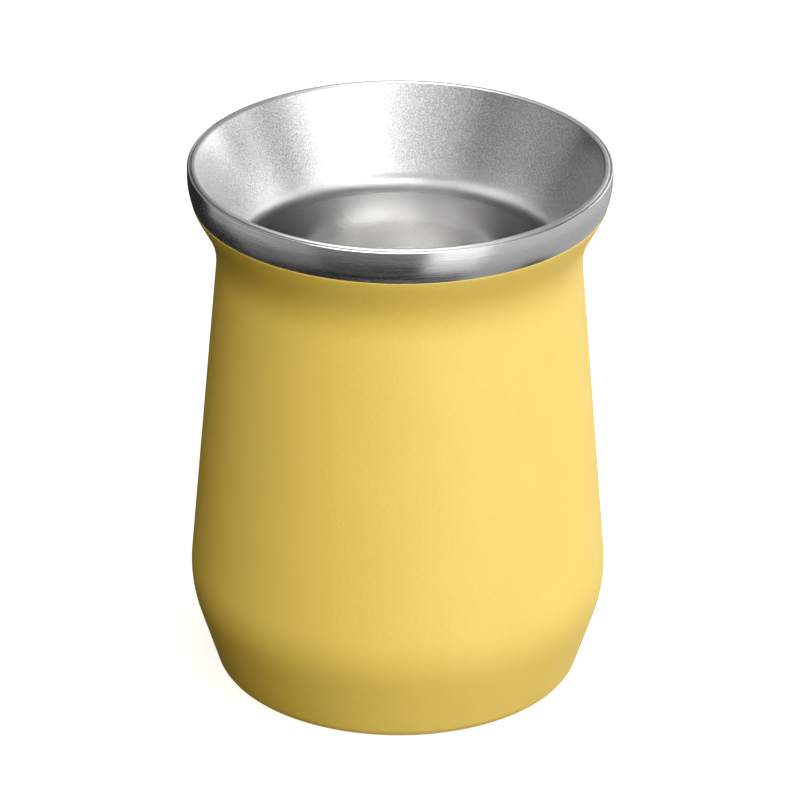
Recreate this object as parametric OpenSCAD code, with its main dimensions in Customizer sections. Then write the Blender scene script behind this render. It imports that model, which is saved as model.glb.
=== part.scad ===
// Double-walled steel mate cup: a bare liner whose rim is turned over into a band,
// welded to a flared, powder-coated outer shell that stands on a turned-in foot.
// Millimetres, +Z up, origin on the standing plane under the middle of the cup.

/* [Overall] */
// Height from the standing plane to the top of the lip
height = 115; // [105:1:130]
// Outer diameter of the rim band, the widest part of the cup
rim_d = 88; // [76:0.5:100]
// Thickness of the steel sheet of both walls
sheet = 0.6; // [0.4:0.05:0.7]

/* [Mouth] */
// Radius of the lip's polished round
lip_r = 0.75; // [0.7:0.05:0.9]
// Radius of the band's top edge, outside the lip
edge_r = 0.3; // [0.25:0.05:0.4]
// Depth of the band's top edge under the top of the lip
edge_drop = 0.35; // [0.25:0.05:0.5]
// Distance that the lip and the band's edge run into each other, which leaves a fine groove
groove_bite = 0.1; // [0.05:0.01:0.15]
// Angle of the funnel's wall from upright
funnel_angle = 29.5; // [25:0.5:34]
// Height of the rim band's upright part, from the top of the lip
band_drop = 2.2; // [1.8:0.2:4]
// Radius of the band's turn towards the neck
band_bend_r = 15.6; // [12:0.2:17]
// Depth of the band's lower edge, where the coating starts, under the top of the lip
band_depth = 7.6; // [5.5:0.2:8]

/* [Chamber] */
// Gap between the two walls at the neck, which the chamber's width follows
wall_gap = 5.1; // [3.5:0.1:8]
// Depth of the chamber's floor under the top of the lip
chamber_depth = 53; // [44:1:90]
// Radius of the rounded throat between funnel and chamber
throat_r = 10; // [6:0.5:14]
// Inner radius between the chamber's wall and floor
floor_r = 3; // [1:0.5:12]

/* [Body] */
// Distance that the rim stands out over the neck, the narrowest part of the shell
flare_reach = 6; // [5:0.2:8]
// Radius of the neck's hollow curve
neck_bend_r = 18; // [12:1:22]
// Angle of the flare under the band, from upright
flare_angle = 28.8; // [24:0.4:32]
// Distance that the rim stands out past the belly's widest line
belly_inset = 0.3; // [-2:0.1:3]
// Height of the belly's widest line over the standing plane
belly_h = 23.4; // [20:0.2:30]
// Radius of the belly's round
belly_bend_r = 29; // [16:1:34]

/* [Foot] */
// Distance from the belly's widest line in to the flat ring that the cup stands on
foot_inset = 8.7; // [7:0.1:11]
// Width of the flat standing ring
ring_w = 1.6; // [1:0.1:4]
// Outer radius between the shell's wall and the standing ring
foot_bend_r = 3.6; // [2.5:0.1:5]
// Outer radius of the turn from the standing ring into the flange
flange_bend_r = 1.4; // [1:0.1:2]
// Height of the flange over the standing plane
flange_h = 3.6; // [3:0.1:6]

/* [Base] */
// Thickness of the pressed base cap
cap_t = 0.8; // [0.6:0.1:1.2]
// Distance that the cap's rim reaches outwards past the flange's outer face
cap_overhang = 0.4; // [0.2:0.1:1]
// Depth of the cap's pressed panel under its rim
cap_drop = 1.4; // [0.8:0.1:2]
// Radius of the dimple round the cap's pump-out port
dimple_r = 6; // [5:0.5:9]
// Height of the dimple
dimple_h = 1.6; // [1.3:0.1:2]
// Radius of the pump-out port
port_r = 1; // [0.6:0.1:1.5]
// Thickness of the cover disc
cover_t = 0.5; // [0.3:0.1:0.8]
// Gap between the cover disc's edge and the flange
cover_gap = 0.4; // [0.2:0.1:1]

/* [Vacuum space] */
// Radius of the getter pill
getter_r = 4; // [3:0.5:5]
// Thickness of the getter pill
getter_t = 1.8; // [1:0.2:3]
// Distance of the getter pill from the middle of the cap
getter_offset = 16; // [14:1:22]
// Radius of the glass seal's head
seal_r = 2.6; // [2:0.1:3]
// Thickness of the glass seal's head
seal_t = 0.8; // [0.6:0.1:1]

/* [Hidden] */

// Largest turn between neighbouring points of an arc, in degrees
arc_step = 3;
$fn = 128;

rim_r = rim_d / 2;
neck_r = rim_r - flare_reach;
chamber_r = neck_r - 2 * sheet - wall_gap;
belly_r = rim_r - belly_inset;
foot_r = belly_r - foot_inset;
flange_r = foot_r - ring_w - flange_bend_r;
floor_z = height - chamber_depth;

// Height that a straight side, tangent to two bends, covers between their centres.
// run is the horizontal distance between the centres and reach their summed radii.
function side_height(run, reach, angle) = (reach - run * cos(angle)) / sin(angle);

// Largest round that the belly can have over the foot, before the side between them is gone
belly_limit_r = (pow(foot_inset, 2) + pow(belly_h - foot_bend_r, 2) - pow(foot_bend_r, 2))
    / (2 * (foot_inset - foot_bend_r));
belly_turn_r = min(belly_bend_r, 0.9 * belly_limit_r);

// Angle of a triangle between two of its sides, opposite the third
function corner_angle(side, next, opposite) =
    acos((side * side + next * next - opposite * opposite) / (2 * side * next));

// Centres of the bends, from the lip down to the foot
edge_c = [rim_r - edge_r, height - edge_drop - edge_r];
lip_c = [edge_c[0] - lip_r - edge_r + groove_bite, height - lip_r];
throat_c = [
    chamber_r + throat_r,
    lip_c[1] - side_height(chamber_r + throat_r - lip_c[0], throat_r - lip_r, funnel_angle)
];
floor_c = [chamber_r - floor_r, floor_z + floor_r];
band_c = [rim_r - band_bend_r, height - band_drop];
neck_c = [
    neck_r + neck_bend_r,
    band_c[1] - side_height(neck_r + neck_bend_r - band_c[0], neck_bend_r + band_bend_r, flare_angle)
];
belly_c = [belly_r - belly_turn_r, belly_h];
foot_c = [foot_r, foot_bend_r];
flange_c = [flange_r + flange_bend_r, flange_bend_r];

// Lean of the long side between neck and belly, a line tangent to both bends
neck_to_belly = neck_c - belly_c;
side_lean = atan2(neck_to_belly[1], neck_to_belly[0])
    - acos((neck_bend_r + belly_turn_r) / norm(neck_to_belly));

// Lean of the short side between belly and foot, tangent to both on the same side
belly_to_foot = belly_c - foot_c;
foot_lean = atan2(belly_to_foot[1], -belly_to_foot[0])
    - acos((belly_turn_r - foot_bend_r) / norm(belly_to_foot));

// Angles at which the lip's round and the band's edge meet in the groove between them
lip_to_edge = edge_c - lip_c;
groove_lean = atan2(lip_to_edge[1], lip_to_edge[0]);
lip_end_angle = groove_lean + corner_angle(lip_r, norm(lip_to_edge), edge_r);
edge_start_angle = groove_lean + 180 - corner_angle(edge_r, norm(lip_to_edge), lip_r);

// Angle on the band's bend at which the band ends and the shell begins
seam_angle = asin((band_c[1] - height + band_depth) / band_bend_r);

cap_r = flange_r + sheet + cap_overhang;
panel_z = flange_h - cap_drop;
panel_r = flange_r - cover_gap - cap_drop;
dimple_top_r = dimple_r - dimple_h;
cover_r = flange_r - cover_gap;

// Points on an arc round a centre, from one angle to another
function arc(centre, radius, from, to) =
    let (steps = ceil(abs(to - from) / arc_step))
    [
        for (i = [0:steps])
            let (a = from + (to - from) * i / steps)
            centre + radius * [cos(a), sin(a)]
    ];

// Points on a pressed step between two places, level at both ends
function swage(from, to) =
    let (steps = 8)
    [
        for (i = [0:steps])
            let (share = (1 - cos(180 * i / steps)) / 2)
            [from[0] + (to[0] - from[0]) * i / steps, from[1] + (to[1] - from[1]) * share]
    ];

function reversed(points) = [for (i = [len(points) - 1:-1:0]) points[i]];

// The liner's bowl, from the middle of the floor up into the funnel.
// inset is the distance behind the face that is seen.
function bowl_face(inset) = concat(
    [[0, floor_z - inset]],
    arc(floor_c, floor_r + inset, -90, 0),
    arc(throat_c, throat_r - inset, 180, 180 - funnel_angle)
);

// The rim band, from its upright part down to its lower edge
function band_face(inset) = arc(band_c, band_bend_r - inset, 0, -seam_angle);

// The liner's seen face, which runs over the lip and through the groove into the band
liner_front = concat(
    bowl_face(0),
    arc(lip_c, lip_r, 180 - funnel_angle, lip_end_angle),
    arc(edge_c, edge_r, edge_start_angle, 0),
    band_face(0)
);

// The liner's hidden face, with the inside of the fold under the lip
liner_back = concat(
    bowl_face(sheet),
    [
        lip_c + (lip_r - sheet) * [-cos(funnel_angle), sin(funnel_angle)],
        [rim_r - sheet, lip_c[1] - sheet]
    ],
    band_face(sheet)
);

// One face of the shell, from the band's lower edge down and under the foot into the flange
function shell_face(inset) = concat(
    arc(band_c, band_bend_r - inset, -seam_angle, -flare_angle),
    arc(neck_c, neck_bend_r + inset, 180 - flare_angle, 180 + side_lean),
    arc(belly_c, belly_turn_r - inset, side_lean, -foot_lean),
    arc(foot_c, foot_bend_r - inset, -foot_lean, -90),
    arc(flange_c, flange_bend_r - inset, -90, -180),
    [[flange_r + inset, flange_h]]
);

// Underside of the base cap, from its rim in to the port
cap_underside = concat(
    [[cap_r, flange_h]],
    swage([flange_r - cover_gap, flange_h], [panel_r, panel_z]),
    swage([dimple_r, panel_z], [dimple_top_r, panel_z + dimple_h]),
    [[port_r, panel_z + dimple_h]]
);

// Revolves the closed outline between two faces of a wall
module spun_wall(face, back) {
    rotate_extrude() polygon(concat(face, reversed(back)));
}

// Inner wall: chamber, throat and funnel, with the lip turned over into the bare rim band
module liner() {
    color([0.72, 0.72, 0.71]) spun_wall(liner_front, liner_back);
}

// Outer wall: flare, neck, tapered body, belly and foot, coated yellow on the outside
module outer_shell() {
    color([0.95, 0.80, 0.40]) spun_wall(shell_face(0), shell_face(sheet));
}

// Pressed disc that closes the shell from below, seated on the flange's edge
module base_cap() {
    raised = [for (p = cap_underside) p + [0, cap_t]];
    color([0.62, 0.62, 0.61]) spun_wall(cap_underside, raised);
}

// Glass plug that seals the pump-out port after the air is drawn out
module seal_bead() {
    roof = panel_z + dimple_h;
    color([0.25, 0.30, 0.28]) rotate_extrude() polygon([
        [0, roof - seal_t],
        [seal_r - seal_t / 2, roof - seal_t],
        [seal_r, roof - seal_t / 2],
        [seal_r, roof],
        [port_r, roof],
        [port_r, roof + cap_t],
        [0, roof + cap_t]
    ]);
}

// Pill that binds the last traces of gas, fixed to the cap inside the vacuum space
module getter() {
    edge = getter_t / 4;
    color([0.40, 0.40, 0.42])
        translate([getter_offset, 0, panel_z + cap_t])
        rotate_extrude() polygon([
            [0, 0],
            [getter_r, 0],
            [getter_r, getter_t - edge],
            [getter_r - edge, getter_t],
            [0, getter_t]
        ]);
}

// Plain steel disc under the cap that hides the seal
module base_cover() {
    edge = cover_t / 2;
    color([0.70, 0.70, 0.69])
        translate([0, 0, panel_z - cover_t])
        rotate_extrude() polygon([
            [0, 0],
            [cover_r - edge, 0],
            [cover_r, edge],
            [cover_r, cover_t],
            [0, cover_t]
        ]);
}

liner();
outer_shell();
base_cap();
seal_bead();
getter();
base_cover();
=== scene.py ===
"""Mate cup: bead-blasted steel inside, brushed rim band and a yellow powder-coated body."""
import math

import bpy
from mathutils import Matrix, Vector


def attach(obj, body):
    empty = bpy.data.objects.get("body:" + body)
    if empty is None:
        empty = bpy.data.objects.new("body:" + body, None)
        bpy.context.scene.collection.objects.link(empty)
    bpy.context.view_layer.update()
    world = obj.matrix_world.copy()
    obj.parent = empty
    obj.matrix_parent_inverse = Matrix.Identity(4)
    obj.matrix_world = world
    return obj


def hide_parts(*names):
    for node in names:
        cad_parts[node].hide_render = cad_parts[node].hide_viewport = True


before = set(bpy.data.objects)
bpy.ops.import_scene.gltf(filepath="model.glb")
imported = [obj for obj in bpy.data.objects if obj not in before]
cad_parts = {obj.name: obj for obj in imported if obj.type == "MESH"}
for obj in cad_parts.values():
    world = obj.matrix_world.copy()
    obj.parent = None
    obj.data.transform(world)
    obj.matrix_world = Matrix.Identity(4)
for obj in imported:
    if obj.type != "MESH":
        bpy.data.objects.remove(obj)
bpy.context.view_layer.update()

MM = 0.001

# Sizes of the cup in millimetres, as in the model of its construction
HEIGHT = 115
RIM_R = 44
SHEET = 0.6
LIP_R = 0.75
EDGE_R = 0.3
EDGE_DROP = 0.35
GROOVE_BITE = 0.1
FUNNEL_ANGLE = 29.5
BAND_DROP = 2.2
BAND_BEND_R = 15.6
BAND_DEPTH = 7.6
WALL_GAP = 5.1
CHAMBER_DEPTH = 53
THROAT_R = 10
FLOOR_R = 3
FLARE_REACH = 6
NECK_BEND_R = 18
FLARE_ANGLE = 28.8
BELLY_R = 43.7
BELLY_H = 23.4
BELLY_BEND_R = 29
FOOT_INSET = 8.7
RING_W = 1.6
FOOT_BEND_R = 3.6
FLANGE_BEND_R = 1.4
FLANGE_H = 3.6
CAP_DROP = 1.4
COVER_T = 0.5
COVER_GAP = 0.4

# Thickness of the coating, and the roundness of the cover disc's edge
COAT_T = 0.09
COVER_EDGE_R = 0.2

# Fineness of the meshes: points round the cup, turn between points of an arc, length of a straight step
SEGMENTS = 256
ARC_STEP = 2.5
STRAIGHT_STEP = 3.0
COAT_EDGE_STEPS = 6
SHARP_ANGLE = 32

# Lengths in millimetres under this count as nothing
TINY = 1e-6

# The mix node's sockets for its two colours, and its output for the blended one
MIX_A = 6
MIX_B = 7
MIX_RESULT = 2

# Shift of the noise patterns in metres, so that the planes where they all start lie outside the cup
NOISE_SHIFT = (0.137, 0.291, 0.513)

# Radii and centres of the bends, worked out as in the model of the construction
NECK_R = RIM_R - FLARE_REACH
CHAMBER_R = NECK_R - 2 * SHEET - WALL_GAP
FOOT_R = BELLY_R - FOOT_INSET
FLANGE_R = FOOT_R - RING_W - FLANGE_BEND_R
FLOOR_Z = HEIGHT - CHAMBER_DEPTH
PANEL_Z = FLANGE_H - CAP_DROP
COVER_R = FLANGE_R - COVER_GAP


def side_height(run, reach, angle):
    """Height that a straight side, tangent to two bends, covers between their centres."""
    lean = math.radians(angle)
    return (reach - run * math.cos(lean)) / math.sin(lean)


def corner_angle(side, next_side, opposite):
    """Angle of a triangle between two of its sides, in degrees."""
    cosine = (side * side + next_side * next_side - opposite * opposite) / (2 * side * next_side)
    return math.degrees(math.acos(cosine))


EDGE_C = (RIM_R - EDGE_R, HEIGHT - EDGE_DROP - EDGE_R)
LIP_C = (EDGE_C[0] - LIP_R - EDGE_R + GROOVE_BITE, HEIGHT - LIP_R)
THROAT_C = (
    CHAMBER_R + THROAT_R,
    LIP_C[1] - side_height(CHAMBER_R + THROAT_R - LIP_C[0], THROAT_R - LIP_R, FUNNEL_ANGLE),
)
FLOOR_C = (CHAMBER_R - FLOOR_R, FLOOR_Z + FLOOR_R)
BAND_C = (RIM_R - BAND_BEND_R, HEIGHT - BAND_DROP)
NECK_C = (
    NECK_R + NECK_BEND_R,
    BAND_C[1] - side_height(NECK_R + NECK_BEND_R - BAND_C[0], NECK_BEND_R + BAND_BEND_R, FLARE_ANGLE),
)
BELLY_C = (BELLY_R - BELLY_BEND_R, BELLY_H)
FOOT_C = (FOOT_R, FOOT_BEND_R)
FLANGE_C = (FLANGE_R + FLANGE_BEND_R, FLANGE_BEND_R)


def tangent_lean(rise, run, reach):
    """Lean from upright of a line tangent to two bends, in degrees."""
    return math.degrees(math.atan2(rise, run) - math.acos(reach / math.hypot(rise, run)))


SIDE_LEAN = tangent_lean(NECK_C[1] - BELLY_C[1], NECK_C[0] - BELLY_C[0], NECK_BEND_R + BELLY_BEND_R)
FOOT_LEAN = tangent_lean(BELLY_C[1] - FOOT_C[1], FOOT_C[0] - BELLY_C[0], BELLY_BEND_R - FOOT_BEND_R)
GROOVE_LEAN = math.degrees(math.atan2(EDGE_C[1] - LIP_C[1], EDGE_C[0] - LIP_C[0]))
LIP_TO_EDGE = math.dist(LIP_C, EDGE_C)
LIP_END = GROOVE_LEAN + corner_angle(LIP_R, LIP_TO_EDGE, EDGE_R)
EDGE_START = GROOVE_LEAN + 180 - corner_angle(EDGE_R, LIP_TO_EDGE, LIP_R)
SEAM_ANGLE = math.degrees(math.asin((BAND_C[1] - HEIGHT + BAND_DEPTH) / BAND_BEND_R))


def arc(centre, radius, start, end, growth=0.0):
    """Points on an arc from one angle to another. growth is added to the radius along the way."""
    steps = max(2, math.ceil(abs(end - start) / ARC_STEP))
    points = []
    for i in range(steps + 1):
        angle = math.radians(start + (end - start) * i / steps)
        reach = radius + growth * i / steps
        points.append((centre[0] + reach * math.cos(angle), centre[1] + reach * math.sin(angle)))
    return points


def stretch(points, slot):
    """A part of an outline that has one material: its points with the slot's number."""
    return [(point, slot) for point in points]


def filled(outline):
    """The closed outline with extra points on its long straight sides."""
    result = []
    for (point, slot), (following, _) in zip(outline, outline[1:] + outline[:1]):
        length = math.dist(point, following)
        if length < TINY:
            continue
        steps = max(1, math.ceil(length / STRAIGHT_STEP))
        for i in range(steps):
            share = i / steps
            between = tuple(a + (b - a) * share for a, b in zip(point, following))
            result.append((between, slot))
    return result


def spun(name, outline, materials):
    """Revolves a closed outline round Z into one watertight mesh."""
    outline = filled(outline)
    vertices = []
    rings = []
    for (radius, z), _ in outline:
        first = len(vertices)
        if radius < TINY:
            vertices.append((0, 0, z * MM))
            rings.append([first] * SEGMENTS)
            continue
        for k in range(SEGMENTS):
            turn = 2 * math.pi * k / SEGMENTS
            vertices.append((radius * math.cos(turn) * MM, radius * math.sin(turn) * MM, z * MM))
        rings.append([first + k for k in range(SEGMENTS)])
    faces = []
    slots = []
    for i, (_, slot) in enumerate(outline):
        lower = rings[i]
        upper = rings[(i + 1) % len(rings)]
        if lower[0] == lower[1] and upper[0] == upper[1]:
            continue
        for k in range(SEGMENTS):
            after = (k + 1) % SEGMENTS
            corners = [lower[k], lower[after], upper[after], upper[k]]
            faces.append(list(dict.fromkeys(corners)))
            slots.append(slot)
    mesh = bpy.data.meshes.new(name)
    mesh.from_pydata(vertices, [], faces)
    for material in materials:
        mesh.materials.append(material)
    mesh.polygons.foreach_set("material_index", slots)
    mesh.polygons.foreach_set("use_smooth", [True] * len(faces))
    mesh.set_sharp_from_angle(angle=math.radians(SHARP_ANGLE))
    mesh.update()
    piece = bpy.data.objects.new(name, mesh)
    bpy.context.collection.objects.link(piece)
    return piece


class Nodes:
    """A material's node tree with short calls to add and join nodes."""

    def __init__(self, name):
        self.material = bpy.data.materials.new(name)
        self.material.use_nodes = True
        self.tree = self.material.node_tree
        self.surface = self.tree.nodes["Principled BSDF"]
        self.place = self.add("ShaderNodeTexCoord").outputs["Object"]

    def add(self, kind, **values):
        """A new node with the given settings."""
        node = self.tree.nodes.new(kind)
        for key, value in values.items():
            setattr(node, key, value)
        return node

    def join(self, output, socket):
        """Links a node's output to another's socket."""
        self.tree.links.new(output, socket)

    def set(self, **values):
        """Sets sockets of the surface shader. An underscore stands for a space."""
        for key, value in values.items():
            socket = key.replace("_", " ").title().replace("Ior", "IOR")
            self.surface.inputs[socket].default_value = value

    def noise(self, scale, stretch=(1, 1, 1), detail=2.0, roughness=0.5):
        """Noise in object space. scale is features per metre and stretch multiplies it along each axis."""
        mapping = self.add("ShaderNodeMapping")
        mapping.inputs["Location"].default_value = NOISE_SHIFT
        mapping.inputs["Scale"].default_value = stretch
        self.join(self.place, mapping.inputs["Vector"])
        noise = self.add("ShaderNodeTexNoise")
        noise.inputs["Scale"].default_value = scale
        noise.inputs["Detail"].default_value = detail
        noise.inputs["Roughness"].default_value = roughness
        self.join(mapping.outputs["Vector"], noise.inputs["Vector"])
        return noise.outputs["Fac"]

    def spread(self, value, low, high, to_low, to_high):
        """The value, mapped from one range to another and kept inside it."""
        node = self.add("ShaderNodeMapRange")
        limits = {"From Min": low, "From Max": high, "To Min": to_low, "To Max": to_high}
        for socket, number in limits.items():
            node.inputs[socket].default_value = number
        self.join(value, node.inputs["Value"])
        return node.outputs["Result"]

    def math(self, operation, a, b):
        """Result of an operation on two values, each a number or a node's output."""
        node = self.add("ShaderNodeMath", operation=operation)
        for socket, value in zip(node.inputs, (a, b)):
            if isinstance(value, (int, float)):
                socket.default_value = value
            else:
                self.join(value, socket)
        return node.outputs["Value"]

    def blend(self, share, a, b):
        """Colour between a and b by share."""
        node = self.add("ShaderNodeMix", data_type="RGBA")
        self.join(share, node.inputs["Factor"])
        for socket, colour in zip((node.inputs[MIX_A], node.inputs[MIX_B]), (a, b)):
            if isinstance(colour, tuple):
                socket.default_value = (*colour, 1)
            else:
                self.join(colour, socket)
        return node.outputs[MIX_RESULT]

    def height(self):
        """Height over the floor in metres."""
        split = self.add("ShaderNodeSeparateXYZ")
        self.join(self.place, split.inputs["Vector"])
        return split.outputs["Z"]

    def bump(self, *layers):
        """Bumps from (height, depth in metres) pairs, one on top of the other."""
        normal = None
        for value, depth in layers:
            node = self.add("ShaderNodeBump")
            node.inputs["Strength"].default_value = 1
            node.inputs["Distance"].default_value = depth
            self.join(value, node.inputs["Height"])
            if normal:
                self.join(normal, node.inputs["Normal"])
            normal = node.outputs["Normal"]
        self.join(normal, self.surface.inputs["Normal"])


def blasted_steel():
    """Inside of the liner: bead-blasted funnel with specks of painted glint and painted dent shade, a
    satin throat and a smooth chamber whose floor is lighter as painted light.
    """
    chamber_colour = (0.60, 0.597, 0.585)
    throat_colour = (0.88, 0.88, 0.875)
    cloud_colour = (0.45, 0.45, 0.44)
    painted_light_floor_colour = (0.75, 0.75, 0.735)
    dent_shade_speck = (0.56, 0.56, 0.56)
    glint_speck = (1.0, 1.0, 1.0)
    blast_start = THROAT_C[1] - 7
    blast_full = THROAT_C[1] + 1
    specks_full = THROAT_C[1] + 8
    floor_full = FLOOR_Z + 0.1
    floor_end = FLOOR_Z + 1
    n = Nodes("blasted_steel")
    n.set(metallic=1)
    z = n.height()
    blasted = n.spread(z, blast_start * MM, blast_full * MM, 0, 1)
    specked = n.spread(z, blast_full * MM, specks_full * MM, 0, 1)
    floor = n.spread(z, floor_full * MM, floor_end * MM, 1, 0)
    grain = n.noise(2900, detail=3.0, roughness=0.75)
    cloud = n.noise(140, detail=3.0)
    colour = n.blend(blasted, chamber_colour, throat_colour)
    colour = n.blend(n.spread(cloud, 0.3, 0.7, 0.0, 0.12), colour, cloud_colour)
    # The specks' colour is painted light: bright specks are painted glints and dull specks are painted
    # shade in the blast dents.
    painted_glints_and_dent_shade = n.blend(n.spread(grain, 0.43, 0.64, 0, 1), dent_shade_speck, glint_speck)
    colour = n.blend(n.math("MULTIPLY", blasted, specked), colour, painted_glints_and_dent_shade)
    # The chamber floor is given a lighter colour: painted light that brightens the lit floor mirrored in
    # the chamber.
    colour = n.blend(n.math("MULTIPLY", floor, 0.5), colour, painted_light_floor_colour)
    n.join(colour, n.surface.inputs["Base Color"])
    rough = n.math("ADD", n.spread(blasted, 0, 1, 0.12, 0.29), n.math("MULTIPLY", floor, 0.1))
    uneven = n.math("MULTIPLY", n.spread(grain, 0.35, 0.65, -0.02, 0.02), specked)
    n.join(n.math("ADD", rough, uneven), n.surface.inputs["Roughness"])
    n.bump((n.math("MULTIPLY", grain, specked), 0.000018))
    return n.material


def brushed_steel():
    """Rim band: fine strokes that run round the cup."""
    n = Nodes("brushed_steel")
    n.set(metallic=1, base_color=(0.62, 0.62, 0.62, 1), anisotropic=0.65, anisotropic_rotation=0.25)
    tangent = n.add("ShaderNodeTangent", direction_type="RADIAL", axis="Z")
    n.join(tangent.outputs["Tangent"], n.surface.inputs["Tangent"])
    strokes = n.noise(75, stretch=(1, 1, 70), detail=4.0, roughness=0.7)
    n.join(n.spread(strokes, 0.35, 0.65, 0.16, 0.30), n.surface.inputs["Roughness"])
    n.bump((strokes, 0.000012))
    return n.material


def polished_steel():
    """Lip: the folded edge, polished, with faint draw lines."""
    n = Nodes("polished_steel")
    n.set(metallic=1, base_color=(0.47, 0.47, 0.47, 1))
    lines = n.noise(300, stretch=(1, 1, 14), detail=2.0)
    n.join(n.spread(lines, 0.3, 0.7, 0.36, 0.46), n.surface.inputs["Roughness"])
    n.bump((lines, 0.000003))
    return n.material


def plain_steel():
    """Sheet as rolled, on the faces inside the vacuum space."""
    n = Nodes("plain_steel")
    n.set(metallic=1, base_color=(0.55, 0.55, 0.54, 1))
    patches = n.noise(180, detail=4.0)
    n.join(n.spread(patches, 0.3, 0.7, 0.28, 0.40), n.surface.inputs["Roughness"])
    n.bump((n.noise(1500), 0.000006))
    return n.material


def turned_steel():
    """Base cover: fine turned rings round the middle."""
    n = Nodes("turned_steel")
    n.set(metallic=1, base_color=(0.60, 0.60, 0.59, 1), anisotropic=0.5, anisotropic_rotation=0.25)
    tangent = n.add("ShaderNodeTangent", direction_type="RADIAL", axis="Z")
    n.join(tangent.outputs["Tangent"], n.surface.inputs["Tangent"])
    length = n.add("ShaderNodeVectorMath", operation="LENGTH")
    n.join(n.place, length.inputs[0])
    rings = n.add("ShaderNodeTexNoise", noise_dimensions="1D")
    rings.inputs["Scale"].default_value = 2600
    rings.inputs["Detail"].default_value = 2
    n.join(length.outputs["Value"], rings.inputs["W"])
    n.join(n.spread(rings.outputs["Fac"], 0.3, 0.7, 0.24, 0.36), n.surface.inputs["Roughness"])
    n.bump((rings.outputs["Fac"], 0.000006))
    return n.material


def powder_coat():
    """Yellow coating: a satin skin with the fine grain of sprayed powder, darker in the grain's hollows as
    painted shade.
    """
    deep_yellow = (0.87, 0.65, 0.165)
    light_yellow = (0.89, 0.67, 0.175)
    pit_shade_yellow = (0.70, 0.49, 0.09)
    n = Nodes("powder_coat")
    n.set(roughness=0.5, ior=1.5)
    grain = n.noise(2600, detail=2.0, roughness=0.55)
    peel = n.noise(900, detail=2.0)
    cloud = n.noise(60, detail=2.0)
    yellow = n.blend(n.spread(cloud, 0.3, 0.7, 0, 1), deep_yellow, light_yellow)
    # The coating darkens where the grain is low: painted shade in its pits.
    painted_pit_shade = n.spread(grain, 0.3, 0.7, 0.16, 0.0)
    n.join(n.blend(painted_pit_shade, yellow, pit_shade_yellow), n.surface.inputs["Base Color"])
    n.bump((peel, 0.000035), (grain, 0.000035))
    return n.material


def glass():
    """Dark seal of the pump-out port."""
    n = Nodes("seal_glass")
    n.set(base_color=(0.03, 0.05, 0.04, 1), roughness=0.12, ior=1.52)
    n.join(n.spread(n.noise(900), 0.3, 0.7, 0.08, 0.2), n.surface.inputs["Roughness"])
    n.bump((n.noise(700), 0.000008))
    return n.material


def sintered_metal():
    """Getter pill: pressed grey powder."""
    n = Nodes("getter_metal")
    n.set(metallic=0.6, base_color=(0.16, 0.16, 0.165, 1))
    grain = n.noise(5200, detail=4.0)
    n.join(n.spread(grain, 0.3, 0.7, 0.55, 0.8), n.surface.inputs["Roughness"])
    n.bump((grain, 0.00005))
    return n.material


def make_liner(plain):
    """Inner wall with its lip and rim band: the seen face, then the hidden face back to the middle."""
    inside, lip, band, hidden = range(4)
    funnel_top = 180 - FUNNEL_ANGLE
    fold = math.radians(funnel_top)
    fold_r = LIP_R - SHEET
    outline = stretch([(0, FLOOR_Z)], inside)
    outline += stretch(arc(FLOOR_C, FLOOR_R, -90, 0), inside)
    outline += stretch(arc(THROAT_C, THROAT_R, 180, funnel_top), inside)
    outline += stretch(arc(LIP_C, LIP_R, funnel_top, LIP_END), lip)
    outline += stretch(arc(EDGE_C, EDGE_R, EDGE_START, 0), band)
    outline += stretch(arc(BAND_C, BAND_BEND_R, 0, -SEAM_ANGLE), band)
    outline += stretch(arc(BAND_C, BAND_BEND_R - SHEET, -SEAM_ANGLE, 0), hidden)
    outline += stretch([(RIM_R - SHEET, LIP_C[1] - SHEET)], hidden)
    outline += stretch([(LIP_C[0] + fold_r * math.cos(fold), LIP_C[1] + fold_r * math.sin(fold))], hidden)
    outline += stretch(arc(THROAT_C, THROAT_R - SHEET, funnel_top, 180), hidden)
    outline += stretch(arc(FLOOR_C, FLOOR_R + SHEET, 0, -90), hidden)
    outline += stretch([(0, FLOOR_Z - SHEET)], hidden)
    materials = [blasted_steel(), polished_steel(), brushed_steel(), plain]
    return spun("steel_liner", outline, materials)


def coat_edge():
    """Rounded upper edge of the coating, from the steel out to the coating's face."""
    points = []
    for step in range(COAT_EDGE_STEPS + 1):
        turn = math.radians(90 * step / COAT_EDGE_STEPS)
        reach = BAND_BEND_R + COAT_T * math.sin(turn)
        along = COAT_T * (1 - math.cos(turn)) / BAND_BEND_R
        angle = -math.radians(SEAM_ANGLE) - along
        points.append((BAND_C[0] + reach * math.cos(angle), BAND_C[1] + reach * math.sin(angle)))
    return points


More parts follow.
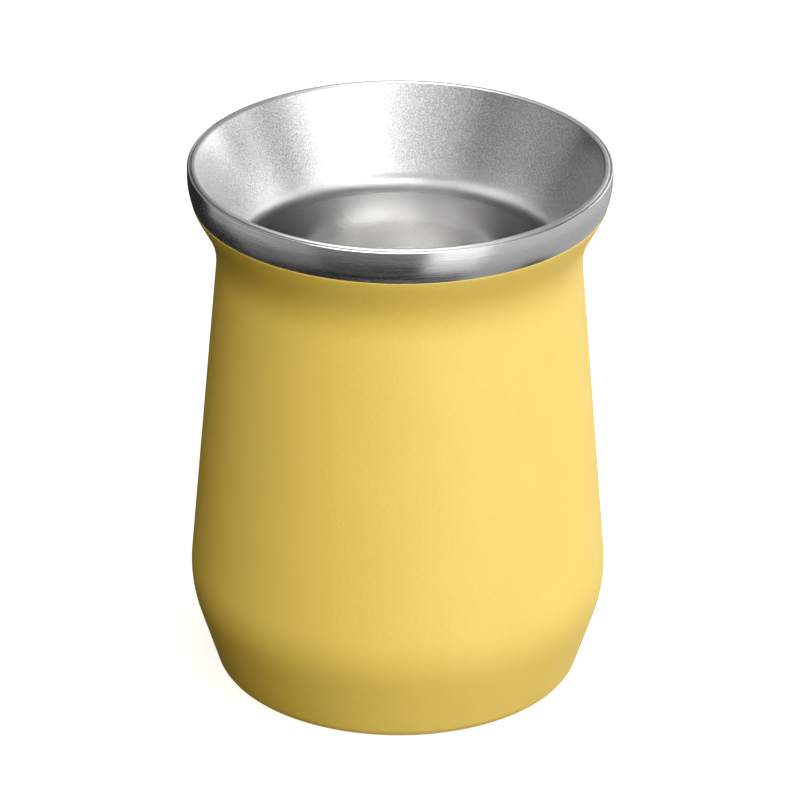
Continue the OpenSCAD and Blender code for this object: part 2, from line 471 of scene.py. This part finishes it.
def make_shell(plain):
    """Outer wall: the coated face from the band down under the foot, then the bare inner face."""
    coat, bare = range(2)
    edge_end = SEAM_ANGLE + math.degrees(COAT_T / BAND_BEND_R)
    outline = stretch(coat_edge(), coat)
    outline += stretch(arc(BAND_C, BAND_BEND_R + COAT_T, -edge_end, -FLARE_ANGLE), coat)
    outline += stretch(arc(NECK_C, NECK_BEND_R - COAT_T, 180 - FLARE_ANGLE, 180 + SIDE_LEAN), coat)
    outline += stretch(arc(BELLY_C, BELLY_BEND_R + COAT_T, SIDE_LEAN, -FOOT_LEAN), coat)
    outline += stretch(arc(FOOT_C, FOOT_BEND_R + COAT_T, -FOOT_LEAN, -90, growth=-COAT_T), coat)
    outline += stretch(arc(FLANGE_C, FLANGE_BEND_R, -90, -180), coat)
    outline += stretch([(FLANGE_R, FLANGE_H), (FLANGE_R + SHEET, FLANGE_H)], bare)
    outline += stretch(arc(FLANGE_C, FLANGE_BEND_R - SHEET, -180, -90), bare)
    outline += stretch(arc(FOOT_C, FOOT_BEND_R - SHEET, -90, -FOOT_LEAN), bare)
    outline += stretch(arc(BELLY_C, BELLY_BEND_R - SHEET, -FOOT_LEAN, SIDE_LEAN), bare)
    outline += stretch(arc(NECK_C, NECK_BEND_R + SHEET, 180 + SIDE_LEAN, 180 - FLARE_ANGLE), bare)
    outline += stretch(arc(BAND_C, BAND_BEND_R - SHEET, -FLARE_ANGLE, -SEAM_ANGLE), bare)
    return spun("coated_shell", outline, [powder_coat(), plain])


def make_cover():
    """Disc on the underside, with its edge eased."""
    top = PANEL_Z
    low = PANEL_Z - COVER_T
    outline = stretch([(0, low)], 0)
    outline += stretch(arc((COVER_R - COVER_EDGE_R, low + COVER_EDGE_R), COVER_EDGE_R, -90, 0), 0)
    outline += stretch([(COVER_R, top), (0, top)], 0)
    return spun("cover_disc", outline, [turned_steel()])


# The camera, from a pinhole fitted to the photograph's edges. LENS and SENSOR are in millimetres, PICTURE
# and AIM in pixels, CAMERA_ELEVATION in degrees, ROLL in radians and CLIP_END in metres.
CAMERA_DISTANCE = 1271 * MM
CAMERA_ELEVATION = 23.91
LENS = 277.2
SENSOR = 36
PICTURE = 800
AIM = (398.7, 162.4)
ROLL = 0.006
CLIP_END = 20


def make_camera():
    """Camera at the photograph's viewing angle. AIM is the pixel that shows the middle of the mouth."""
    elevation = math.radians(CAMERA_ELEVATION)
    offset = Vector((0, -math.cos(elevation), math.sin(elevation))) * CAMERA_DISTANCE
    focal = LENS / SENSOR * PICTURE
    across = (AIM[0] - PICTURE / 2) / focal
    down = (AIM[1] - PICTURE / 2) / focal
    turned = (-offset).to_track_quat("-Z", "Y").to_matrix()
    pitch = Matrix.Rotation(math.atan(down), 3, "X")
    yaw = Matrix.Rotation(math.atan(across * math.cos(math.atan(down))), 3, "Y")
    roll = Matrix.Rotation(ROLL, 3, "Z")
    camera = bpy.data.objects.new("camera", bpy.data.cameras.new("camera"))
    camera.matrix_world = (turned @ pitch @ yaw @ roll).to_4x4()
    camera.location = Vector((0, 0, HEIGHT * MM)) + offset
    camera.data.lens = LENS
    camera.data.sensor_width = SENSOR
    camera.data.clip_end = CLIP_END
    bpy.context.collection.objects.link(camera)
    bpy.context.scene.camera = camera


# The studio: a white room with cards and lamps set round the cup on a sphere. Cards are what the steel
# mirrors, and lamps are what lights the coating. Azimuth 0 is the camera's side and 90 its right.
STUDIO_CENTRE = Vector((0, 0, 0.1))
STUDIO_R = 2.0
PANEL_STEP = 6
CARDS = (
    # name, azimuths, elevations, level
    ("ceiling_left", (-135, -45), (68, 90), 10.0),
    ("ceiling_front", (-45, 45), (68, 90), 8.0),
    ("ceiling_right", (45, 135), (68, 90), 2.5),
    ("ceiling_back", (135, 225), (68, 90), 7.0),
    ("key", (12, 60), (30, 45), 2.8),
    ("key_left_edge", (-4, 12), (30, 45), 1.5),
    ("key_right_edge", (60, 72), (30, 45), 1.1),
    ("key_low", (24, 72), (15, 30), 1.4),
    ("key_side", (72, 96), (15, 45), 0.6),
    ("key_top", (-45, 45), (45, 68), 1.0),
    ("right_top", (45, 105), (45, 68), 0.8),
    ("right_black", (96, 165), (30, 68), 0.08),
    ("back_right", (96, 156), (15, 30), 1.7),
    ("back_right_low", (120, 168), (0, 15), 1.9),
    ("back_top", (165, 255), (45, 68), 0.7),
    ("back_high", (165, 240), (30, 45), 0.5),
    ("back", (156, 192), (15, 30), 0.4),
    ("back_low", (168, 192), (0, 15), 0.7),
    ("back_left_black", (192, 240), (0, 30), 0.0),
    ("left_black", (-120, -48), (30, 45), 0.0),
    ("left_top_black", (-105, -45), (45, 68), 0.0),
    ("left_strip", (-120, -96), (0, 30), 0.3),
    ("front_fill", (-24, -4), (30, 45), 0.95),
    ("front_left_fill", (-48, -24), (30, 45), 0.6),
    ("front_grey", (-96, 24), (15, 30), 0.5),
    ("front_black", (-96, 120), (0, 15), 0.0),
    ("table_key", (17, 48), (-22, 0), 2.4),
    ("table_front", (-48, 17), (-22, 0), 0.45),
    ("table_left", (-120, -70), (-22, 0), 1.0),
    ("table_left_front", (-70, -48), (-22, 0), 0.75),
    ("table_right", (48, 144), (-22, 0), 1.05),
    ("table_back", (144, 192), (-22, 0), 0.6),
    ("table_back_left", (192, 240), (-22, 0), 0.02),
    ("skirt_key", (14, 45), (-45, -22), 0.9),
    ("skirt_front", (-45, 14), (-45, -22), 0.08),
    ("skirt_left", (-105, -75), (-45, -22), 0.15),
    ("skirt_left_front", (-75, -45), (-45, -22), 0.2),
    ("skirt_right", (45, 165), (-45, -22), 0.55),
    ("skirt_back", (165, 255), (-45, -22), 0.02),
    ("under_right", (45, 90), (-70, -45), 0.4),
    ("under", (90, 405), (-70, -45), 0.01),
)
LAMPS = (
    # name, azimuths, elevations, level, colour
    ("key_lamp", (12, 60), (15, 65), 3.4, (1, 1.03, 1.6)),
    ("key_left_lamp", (-24, 12), (15, 65), 4.5, (1, 0.95, 0.32)),
    ("right_lamp", (100, 156), (0, 65), 2.35, (1, 1, 0.8)),
    ("left_lamp", (-120, -24), (0, 65), 0.2, (1, 0.6, 0.02)),
    ("floor_lamp", (30, 180), (-70, -22), 1.6, (1, 0.85, 0.2)),
    ("ceiling_lamp", (-180, 180), (65, 90), 0.8, (1, 1.4, 0.05)),
)


def toward(azimuth, elevation):
    """Point on the studio's sphere, from two angles in degrees."""
    a = math.radians(azimuth)
    e = math.radians(elevation)
    direction = Vector((math.sin(a) * math.cos(e), -math.cos(a) * math.cos(e), math.sin(e)))
    return STUDIO_CENTRE + STUDIO_R * direction


def panel(name, azimuths, elevations, level, colour=(1, 1, 1)):
    """A glowing patch of the sphere, which the camera doesn't see and which casts no shadow."""
    across = max(1, math.ceil((azimuths[1] - azimuths[0]) / PANEL_STEP))
    up = max(1, math.ceil((elevations[1] - elevations[0]) / PANEL_STEP))
    points = [
        toward(
            azimuths[0] + (azimuths[1] - azimuths[0]) * i / across,
            elevations[0] + (elevations[1] - elevations[0]) * j / up,
        )
        for j in range(up + 1)
        for i in range(across + 1)
    ]
    row = across + 1
    corners = [j * row + i for j in range(up) for i in range(across)]
    faces = [(c, c + 1, c + row + 1, c + row) for c in corners]
    mesh = bpy.data.meshes.new(name)
    mesh.from_pydata(points, [], faces)
    material = bpy.data.materials.new(name)
    material.use_nodes = True
    tree = material.node_tree
    tree.nodes.clear()
    glow = tree.nodes.new("ShaderNodeEmission")
    glow.inputs["Color"].default_value = (*colour, 1)
    glow.inputs["Strength"].default_value = level
    output = tree.nodes.new("ShaderNodeOutputMaterial")
    tree.links.new(glow.outputs["Emission"], output.inputs["Surface"])
    mesh.materials.append(material)
    card = bpy.data.objects.new(name, mesh)
    card.visible_camera = False
    card.visible_shadow = False
    bpy.context.collection.objects.link(card)
    return card


def make_world():
    """White room behind the cup, which the steel mirrors between the cards. The lamps do the lighting."""
    world = bpy.data.worlds.new("studio")
    bpy.context.scene.world = world
    world.use_nodes = True
    tree = world.node_tree
    background = tree.nodes["Background"]
    background.inputs["Color"].default_value = (1, 1, 1, 1)
    path = tree.nodes.new("ShaderNodeLightPath")
    strength = path.outputs["Is Camera Ray"]
    for kind in ("Is Glossy Ray", "Is Transmission Ray"):
        either = tree.nodes.new("ShaderNodeMath")
        either.operation = "MAXIMUM"
        tree.links.new(strength, either.inputs[0])
        tree.links.new(path.outputs[kind], either.inputs[1])
        strength = either.outputs["Value"]
    tree.links.new(strength, background.inputs["Strength"])


def make_floor():
    """Pale floor for the camera alone, white where it is lit and greyer in the cup's shadow."""
    reach = 1.5
    corners = [(-reach, -reach, 0), (reach, -reach, 0), (reach, reach, 0), (-reach, reach, 0)]
    mesh = bpy.data.meshes.new("floor")
    mesh.from_pydata(corners, [], [(0, 1, 2, 3)])
    n = Nodes("floor")
    n.set(base_color=(0.3, 0.3, 0.3, 1), roughness=0.9)
    n.set(emission_color=(1, 1, 1, 1), emission_strength=0.86)
    below = n.add("ShaderNodeNewGeometry")
    clear = n.add("ShaderNodeBsdfTransparent")
    mixed = n.add("ShaderNodeMixShader")
    output = n.tree.nodes["Material Output"]
    n.join(below.outputs["Backfacing"], mixed.inputs[0])
    n.join(n.surface.outputs["BSDF"], mixed.inputs[1])
    n.join(clear.outputs["BSDF"], mixed.inputs[2])
    n.join(mixed.outputs["Shader"], output.inputs["Surface"])
    mesh.materials.append(n.material)
    floor = bpy.data.objects.new("floor", mesh)
    floor.visible_diffuse = False
    floor.visible_glossy = False
    floor.visible_shadow = False
    bpy.context.collection.objects.link(floor)


def dress(node, material):
    """Gives a CAD node its material."""
    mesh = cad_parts[node].data
    mesh.materials.clear()
    mesh.materials.append(material)


bpy.context.scene.view_settings.view_transform = "Standard"
plain = plain_steel()

liner = make_liner(plain)
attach(liner, "root")
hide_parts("liner")

shell = make_shell(plain)
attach(shell, "root")
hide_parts("outer_shell")

cover = make_cover()
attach(cover, "root")
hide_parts("base_cover")

dress("base_cap", plain)
dress("seal_bead", glass())
dress("getter", sintered_metal())

make_camera()
make_world()
make_floor()
for card in CARDS:
    panel(*card).visible_diffuse = False
for lamp in LAMPS:
    panel(*lamp).visible_glossy = False
